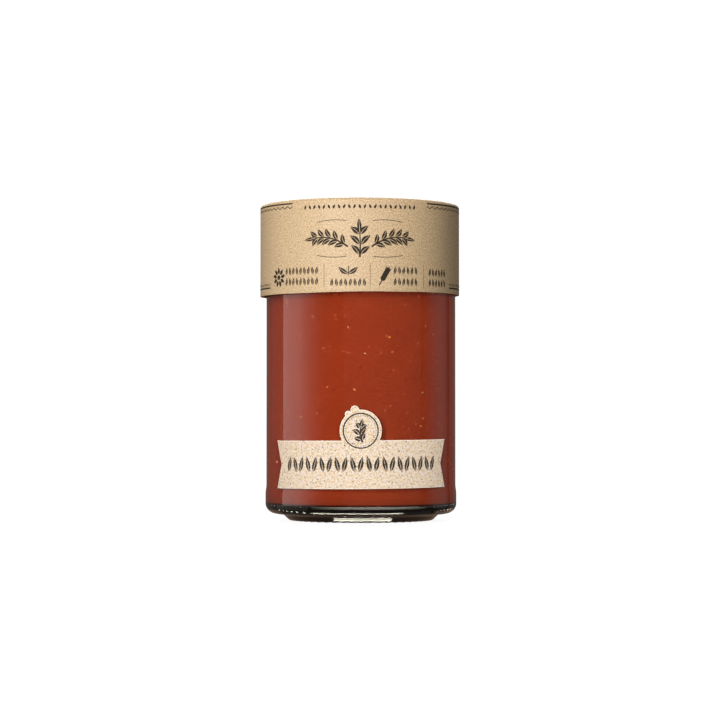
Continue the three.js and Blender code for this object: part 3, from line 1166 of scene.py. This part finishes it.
def label_sheet(settings):
    """The label as a flat sheet with thickness and a rounded cut edge."""
    edge = label_outline(settings)
    inner = inset(edge, settings.rim)
    sheet = bmesh.new()
    # Marks the cut edge for its painted highlight
    rim = sheet.verts.layers.float.new("rim")
    back = settings.lift
    outer_ring = [sheet.verts.new((x, back, z)) for x, z in edge]
    inner_ring = [sheet.verts.new((x, back, z)) for x, z in inner]
    for vertex in outer_ring:
        vertex[rim] = 1.0
    total = len(edge)
    for i in range(total):
        j = (i + 1) % total
        sheet.faces.new((outer_ring[i], outer_ring[j], inner_ring[j], inner_ring[i]))
    sheet.faces.new(inner_ring)
    reach = max(abs(edge[:, 0]))
    for x in np.arange(-math.floor(reach / MM), math.floor(reach / MM) + 1) * MM:
        parts = sheet.verts[:] + sheet.edges[:] + sheet.faces[:]
        bmesh.ops.bisect_plane(sheet, geom=parts, plane_co=(x, 0, 0), plane_no=(1, 0, 0), dist=1e-7)
    bmesh.ops.triangulate(sheet, faces=[face for face in sheet.faces if len(face.verts) > 4])
    grown = bmesh.ops.extrude_face_region(sheet, geom=sheet.faces[:])["geom"]
    front = {part for part in grown if isinstance(part, bmesh.types.BMVert)}
    for vertex in front:
        vertex.co.y = back + settings.paper
    bmesh.ops.recalc_face_normals(sheet, faces=sheet.faces)
    cut = [
        side for side in sheet.edges
        if side.verts[0] in front and side.verts[1] in front
        and any(abs(face.normal.y) < 0.5 for face in side.link_faces)
    ]
    bmesh.ops.bevel(sheet, geom=cut, offset=settings.paper * 0.35, segments=2, profile=0.5, affect="EDGES")
    return sheet


class JarLabel(Operator):
    """Cuts the label and bends it on to the glass"""

    bl_idname = "passata_jar.label"
    bl_label = "Label"

    def execute(self, context):
        settings = jar_settings().label
        sheet = label_sheet(settings)
        layer = sheet.loops.layers.uv.new("sheet")
        for face in sheet.faces:
            for corner in face.loops:
                corner[layer].uv = (corner.vert.co.x, corner.vert.co.z)
        wall = PlainWall(jar_settings().glass.body_radius)
        bent = wrapped([vertex.co for vertex in sheet.verts], wall, 0.0)
        for vertex, place in zip(sheet.verts, bent):
            vertex.co = place
        bmesh.ops.recalc_face_normals(sheet, faces=sheet.faces)
        made = new_object("label_paper", [], [], label_material(settings))
        sheet.to_mesh(made.data)
        sheet.free()
        made.data.polygons.foreach_set("use_smooth", [True] * len(made.data.polygons))
        made.data.set_sharp_from_angle(angle=math.radians(50))
        keep(made, "label_paper", "label")
        return {"FINISHED"}


class JarLabelPrint(Operator):
    """Prints a row of leaves on the ribbon and a sprig in a ring on the round top"""

    bl_idname = "passata_jar.label_print"
    bl_label = "Label print"

    def execute(self, context):
        label, settings = jar_settings().label, jar_settings().printing
        drawing = Drawing(settings)
        middle = (label.low + label.high) / 2
        leaf = upright_leaf(settings, 6.7 * MM, 2.15 * MM, 0.3 * MM)
        number_of, step = 21, 3.36 * MM
        first = (-step * (number_of - 1) / 2, middle + 0.3 * MM)
        repeat(drawing, leaf, number_of, first, (step, 0), math.radians(13))
        centre = (0, label.bump_height)
        ring_radius, bead_radius, beads = 7.3 * MM, 6.45 * MM, 40
        drawing.ring(centre, ring_radius, 0.55 * MM)
        for turn in even_turns(beads):
            drawing.dot(bead_radius * np.array([math.sin(turn), math.cos(turn)]) + centre, 0.17 * MM)
        foot = (0.9 * MM, label.bump_height - 4.9 * MM)
        stem = curved(foot, (-0.8 * MM, label.bump_height - 2 * MM), (0, label.bump_height + 1.2 * MM))
        branch(drawing, stem, 4.0 * MM, 2.1 * MM, 0.3 * MM, 3)
        points = np.array(drawing.points)
        points[:, [0, 2]] = askew(points[:, [0, 2]], label)
        points[:, 1] += label.lift + label.paper
        wall = PlainWall(jar_settings().glass.body_radius)
        ink = bpy.data.materials.get("print_ink") or ink_material(settings)
        made = new_object("label_print", wrapped(points, wall, 0.0), drawing.faces, ink)
        outward(made)
        made.data.set_sharp_from_angle(angle=math.radians(30))
        keep(made, "ink")
        return {"FINISHED"}


# Turns in degrees from the front, and how bright a panel is there
LEFT_PANEL = ((-135, 0.1), (-106.6, 0.14), (-106.5, 1.0), (-80, 1.0), (-71, 0.69), (-62, 0.41),
              (-53, 0.18), (-44, 0.05), (-20, 0.0))
RIGHT_PANEL = ((76, 0.0), (95, 0.8), (108, 1.0), (120, 0.7), (132, 0.0))
BACKDROP_TURNS = (154, 167, 180, 193, 206)
# Sizes of the stage in metres
PANEL_DISTANCE = 0.8
BACKDROP_DISTANCE = 0.9
BACKDROP_HEIGHT = 0.65
FLOOR_RADIUS = 12.0
# Where shadows on the floor start to fade and where they are gone, in metres from the middle
FLOOR_FADE = (0.1, 0.6)
# Height of each row of a side panel in metres, and the share of its brightness there
PANEL_ROWS = ((-0.45, 0.0), (-0.15, 1.0), (0.25, 1.0))
# Strips: first and last turn, low and high edge in mm, brightness at both, share that fades, distance in mm
GLINT_LINES = ((-32, 27, 4.12, 4.6, 0.95, 0.85, 0.12, 17), (-22, 24, 0.45, 2.1, 2.2, 0.15, 0.06, 5),
               (-32, 44, 6.1, 7.15, 0.22, 0.55, 0.7, 3))
SHIMMER_LINES = ((-80, 80, 3.05, 3.75, 1.0, 0.6, 0.1, 23), (-84, -52, 3.75, 5.3, 1.3, 0.9, 0.35, 23),
                 (46, 82, 3.75, 5.4, 1.6, 1.1, 0.35, 23))
# A dim strip in the same terms, which hides the left panel from the heel
HEEL_SHADE = (-61, -31, 5.3, 7.25, 0.022, 0.035, 0.05, 4)
# Dots: turn, height in millimetres and half width in degrees
GLINT_DOTS = ((-58, 5.2, 0.6), (-54, 5.05, 0.75), (-50.3, 4.9, 0.9), (-46.3, 4.75, 1.05), (-41.8, 4.6, 1.2),
              (-36.4, 4.4, 1.4), (53, 4.7, 0.5), (57, 4.85, 0.6), (61, 5.0, 0.7), (65.5, 5.15, 0.8),
              (70, 5.3, 0.8))
# Rows of faint dots: first and last turn, number, first and last height, half width and brightness
DOT_ROWS = ((-67, -25, 11, 6.85, 6.8, 0.75, 0.3), (37, 74, 11, 6.85, 7.2, 0.65, 0.3))
# Half height of a faint dot and distance of all dots in mm, brightness of the other dots, share that fades
FAINT_DOT_HALF = 0.14
DOT_DISTANCE = 2.5
DOT_GLOW = 0.6
DOT_FADE = 0.9
# Colour of the cream strips and dots, as linear light
GLINT_TONE = (1, 0.98, 0.8)


def area_light(name, power, size, place, target):
    """A soft rectangular light that looks at a point."""
    data = bpy.data.lights.new(name, "AREA")
    data.shape = "RECTANGLE"
    data.size, data.size_y = size
    data.energy = power
    lamp = bpy.data.objects.new(name, data)
    bpy.context.scene.collection.objects.link(lamp)
    lamp.location = place
    away = lamp.location - target
    lamp.rotation_euler = away.to_track_quat("Z", "Y").to_euler()
    return lamp


def compass(turn, distance, height):
    """A place seen from the jar: a turn from the front towards +X, in degrees, a distance and a height."""
    return (distance * math.sin(math.radians(turn)), -distance * math.cos(math.radians(turn)), height)


def glowing(name, points, faces, glow, strength, tone=(1, 1, 1)):
    """A stage piece that glows, more or less at each of its points, for the glass to mirror."""
    made = new_object(name, points, faces)
    layer = made.data.attributes.new("glow", "FLOAT", "POINT")
    layer.data.foreach_set("value", glow)
    material, tree, output = new_material(name + "_glow")
    share = add_node(tree, "ShaderNodeAttribute", attribute_name="glow").outputs["Fac"]
    light = add_node(tree, "ShaderNodeEmission", {
        "Color": opaque(tone), "Strength": maths(tree, "MULTIPLY", share, strength),
    })
    tree.links.new(light.outputs[0], output.inputs["Surface"])
    material.cycles.emission_sampling = "NONE"
    made.data.materials.append(material)
    made.visible_camera = made.visible_diffuse = made.visible_shadow = False
    return made


def side_panel(name, stops, strength):
    """A curved panel beside the jar that fades out below. A stop is a turn in degrees and a brightness."""
    points = [compass(turn, PANEL_DISTANCE, height) for height, share in PANEL_ROWS for turn, glow in stops]
    shares = [share * glow for height, share in PANEL_ROWS for turn, glow in stops]
    total = len(stops)
    starts = [row * total + i for row in range(len(PANEL_ROWS) - 1) for i in range(total - 1)]
    faces = [(i + 1, i, total + i, total + i + 1) for i in starts]
    panel = glowing(name, points, faces, shares, strength)
    panel.visible_transmission = False


def backdrop_sheet(settings):
    """A pale sheet behind the jar that shows through its thick base. The camera doesn't see it."""
    rows = (0.0, BACKDROP_HEIGHT)
    points = [compass(turn, BACKDROP_DISTANCE, height) for height in rows for turn in BACKDROP_TURNS]
    total = len(BACKDROP_TURNS)
    faces = [(i, i + 1, total + i + 1, total + i) for i in range(total - 1)]
    sheet = glowing("backdrop_sheet", points, faces, np.ones(len(points)), settings.backdrop)
    sheet.visible_glossy = False


def floor_material(settings):
    """A pale floor with soft shadows that runs out into the white backdrop. It is clear from below."""
    material, tree, output = new_material("pale_floor")
    shade = settings.floor_shade
    place = object_place(tree)
    distance = add_node(tree, "ShaderNodeVectorMath", {0: place}, operation="LENGTH").outputs["Value"]
    far = stepped(tree, distance, *FLOOR_FADE)
    seen = add_node(tree, "ShaderNodeLightPath").outputs["Is Camera Ray"]
    near_glow = maths(tree, "MULTIPLY_ADD", far, shade, settings.paper_white - shade)
    glow = maths(tree, "MULTIPLY", near_glow, seen)
    matt_tone = maths(tree, "MULTIPLY_ADD", far, -shade, shade)
    matt = add_node(tree, "ShaderNodeBsdfDiffuse", {"Color": matt_tone})
    light = add_node(tree, "ShaderNodeEmission", {"Strength": glow})
    both = add_node(tree, "ShaderNodeAddShader", {0: matt.outputs[0], 1: light.outputs[0]})
    below = add_node(tree, "ShaderNodeNewGeometry").outputs["Backfacing"]
    clear = add_node(tree, "ShaderNodeBsdfTransparent")
    sided = add_node(tree, "ShaderNodeMixShader", {0: below, 1: both.outputs[0], 2: clear.outputs[0]})
    tree.links.new(sided.outputs[0], output.inputs["Surface"])
    material.cycles.emission_sampling = "NONE"
    return material


def dim_room(settings):
    """A world that is white to the camera and dim to everything else."""
    world = bpy.data.worlds.new("studio")
    world.use_nodes = True
    tree = world.node_tree
    tree.nodes.clear()
    seen = add_node(tree, "ShaderNodeLightPath").outputs["Is Camera Ray"]
    shiny = add_node(tree, "ShaderNodeLightPath").outputs["Is Glossy Ray"]
    strength = maths(tree, "MULTIPLY_ADD", shiny, settings.gloss, settings.room)
    dim = {"Color": opaque(settings.room_tone), "Strength": strength}
    room = add_node(tree, "ShaderNodeBackground", dim)
    bright = {"Color": opaque((1, 1, 1)), "Strength": settings.paper_white}
    white = add_node(tree, "ShaderNodeBackground", bright)
    both = add_node(tree, "ShaderNodeMixShader", {0: seen, 1: room.outputs[0], 2: white.outputs[0]})
    output = add_node(tree, "ShaderNodeOutputWorld")
    tree.links.new(both.outputs[0], output.inputs["Surface"])
    bpy.context.scene.world = world


def stage_lights(settings):
    """Soft lights round the jar. They light all but the clear glass, and the fills less than that."""
    middle = (GLASS_LOW + COVER_HIGH) / 2
    small, tall, wide, large = (0.3, 0.12), (0.3, 0.7), (0.9, 0.12), (1.0, 0.6)
    label = ("label_paper", "label_print")
    below = ("passata_fill", "passata_flecks", *label)
    every = ("kraft_cover_paper", "cover_print", "floor", *below)
    lamps = (
        ("key", settings.key, tall, compass(-29, 1.2, 0.41), every),
        ("front", settings.front, wide, compass(4, 1.2, 0.08), every),
        ("top", settings.top, large, compass(-10, 0.8, 1.1), every),
        ("back", settings.back, large, compass(180, 0.9, 0.75), every),
        ("fill", settings.fill, small, compass(80, 1.2, 0.41), below),
        ("label_right", settings.label_right, small, compass(68, 1.2, 0.41), label),
        ("label_left", settings.label_left, small, compass(-60, 1.2, 0.41), label),
    )
    for name, power, size, place, receivers in lamps:
        lamp = area_light(name, power, size, place, middle)
        lamp.visible_camera = lamp.visible_transmission = False
        lit = bpy.data.collections.new(name)
        for piece in receivers:
            lit.objects.link(bpy.data.objects[piece])
        lamp.light_linking.receiver_collection = lit


def mirrored(turn, height, distance, settings):
    """The place that the camera sees mirrored on the heel or the foot, at a distance from the glass."""
    glass = jar_settings().glass
    rise = glass.bumper_low - glass.heel_height
    reach = GLASS_HIGH.x - glass.heel_radius
    if height > glass.heel_height:
        down = (glass.bumper_low - height) / rise
        out = math.sqrt(1 - down * down)
        radius = glass.heel_radius + reach * out
        normal = Vector(compass(turn, out / reach, -down / rise)).normalized()
    else:
        spread = glass.foot_top_radius - glass.foot_radius
        radius = glass.foot_radius + spread * height / glass.foot_height
        normal = Vector(compass(turn, glass.foot_height, -spread)).normalized()
    place = Vector(compass(turn, radius, height))
    ray = place - Vector((-settings.aside, -settings.distance, settings.eye))
    return place + distance * ray.reflect(normal).normalized()


def glint_strips(name, strips, strength, tone, settings):
    """Small glowing strips that only reflections see, each where it shows in the heel or the foot."""
    points, faces, glow = [], [], []
    for first, last, low, high, low_glow, high_glow, taper, distance in strips:
        turns = np.linspace(first, last, max(3, round((last - first) / 2)))
        ends = np.clip((1 - np.abs(np.linspace(-1, 1, len(turns)))) / taper, 0, 1)
        base = len(points)
        for turn, end in zip(turns, ends):
            points += [mirrored(turn, height * MM, distance * MM, settings) for height in (low, high)]
            glow += [end * low_glow, end * high_glow]
        starts = range(base, base + 2 * len(turns) - 2, 2)
        faces += [(i, i + 1, i + 3, i + 2) for i in starts]
    made = glowing(name, points, faces, glow, strength, tone)
    made.visible_transmission = False


def base_glints(settings):
    """Cream lines and dots for the heel and the foot, and a brown shimmer under the heel."""
    strips = [*GLINT_LINES, HEEL_SHADE]

    def add_dot(turn, height, half, half_height, glow):
        """Adds a dot as a short strip."""
        strips.append((turn - half, turn + half, height - half_height, height + half_height,
                       glow, glow, DOT_FADE, DOT_DISTANCE))

    for turn, height, half in GLINT_DOTS:
        add_dot(turn, height, half, half / 4, DOT_GLOW)
    for first, last, number_of, low, high, half, glow in DOT_ROWS:
        for turn, height in zip(np.linspace(first, last, number_of), np.linspace(low, high, number_of)):
            add_dot(turn, height, half, FAINT_DOT_HALF, glow)
    glint_strips("base_glints", strips, settings.glint, GLINT_TONE, settings)
    glint_strips("base_shimmer", SHIMMER_LINES, settings.shimmer, settings.shimmer_tone, settings)


class JarStage(Operator):
    """Sets up the camera, the lights, the room and the floor"""

    bl_idname = "passata_jar.stage"
    bl_label = "Stage"

    def execute(self, context):
        settings = jar_settings().stage
        scene = context.scene
        data = bpy.data.cameras.new("camera")
        data.sensor_width = 36.0
        data.lens = settings.focal_pixels / IMAGE_SIDE * data.sensor_width
        data.clip_start, data.clip_end = 0.05, 50.0
        camera = bpy.data.objects.new("camera", data)
        scene.collection.objects.link(camera)
        camera.location = (-settings.aside, -settings.distance, settings.eye)
        camera.rotation_euler = (math.pi / 2 + settings.tilt, 0, 0)
        scene.camera = camera
        side_panel("left_panel", LEFT_PANEL, settings.left)
        side_panel("right_panel", RIGHT_PANEL, settings.right)
        backdrop_sheet(settings)
        base_glints(settings)
        dim_room(settings)
        corners = [compass(turn, FLOOR_RADIUS, 0) for turn in range(0, 360, 5)]
        floor = new_object("floor", corners, [tuple(range(len(corners)))], floor_material(settings))
        floor.visible_glossy = False
        floor.visible_transmission = False
        stage_lights(settings)
        scene.view_settings.view_transform = "Standard"
        scene.cycles.use_denoising = True
        scene.cycles.denoising_input_passes = "RGB"
        return {"FINISHED"}


STEPS = (JarGlass, JarPassata, JarFlecks, JarCover, JarCoverPrint, JarLabel, JarLabelPrint, JarStage)


class JarPanel(Panel):
    """Lists the steps that build the jar"""

    bl_idname = "VIEW3D_PT_passata_jar"
    bl_label = "Passata jar"
    bl_space_type = "VIEW_3D"
    bl_region_type = "UI"
    bl_category = "Jar"

    def draw(self, context):
        for step in STEPS:
            self.layout.operator(step.bl_idname)


CLASSES = (GlassSettings, PassataSettings, CoverSettings, LabelSettings, PrintSettings, StageSettings,
           JarSettings, *STEPS, JarPanel)


def register():
    """Registers every class and the scene's settings."""
    for item in CLASSES:
        bpy.utils.register_class(item)
    bpy.types.Scene.passata_jar = PointerProperty(type=JarSettings)


def unregister():
    """Takes them away again."""
    del bpy.types.Scene.passata_jar
    for item in reversed(CLASSES):
        bpy.utils.unregister_class(item)


def main():
    """Builds the jar round its solids."""
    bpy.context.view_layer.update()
    register()
    for step in STEPS:
        group, name = step.bl_idname.split(".")
        getattr(getattr(bpy.ops, group), name)()


if __name__ == "__main__":
    main()
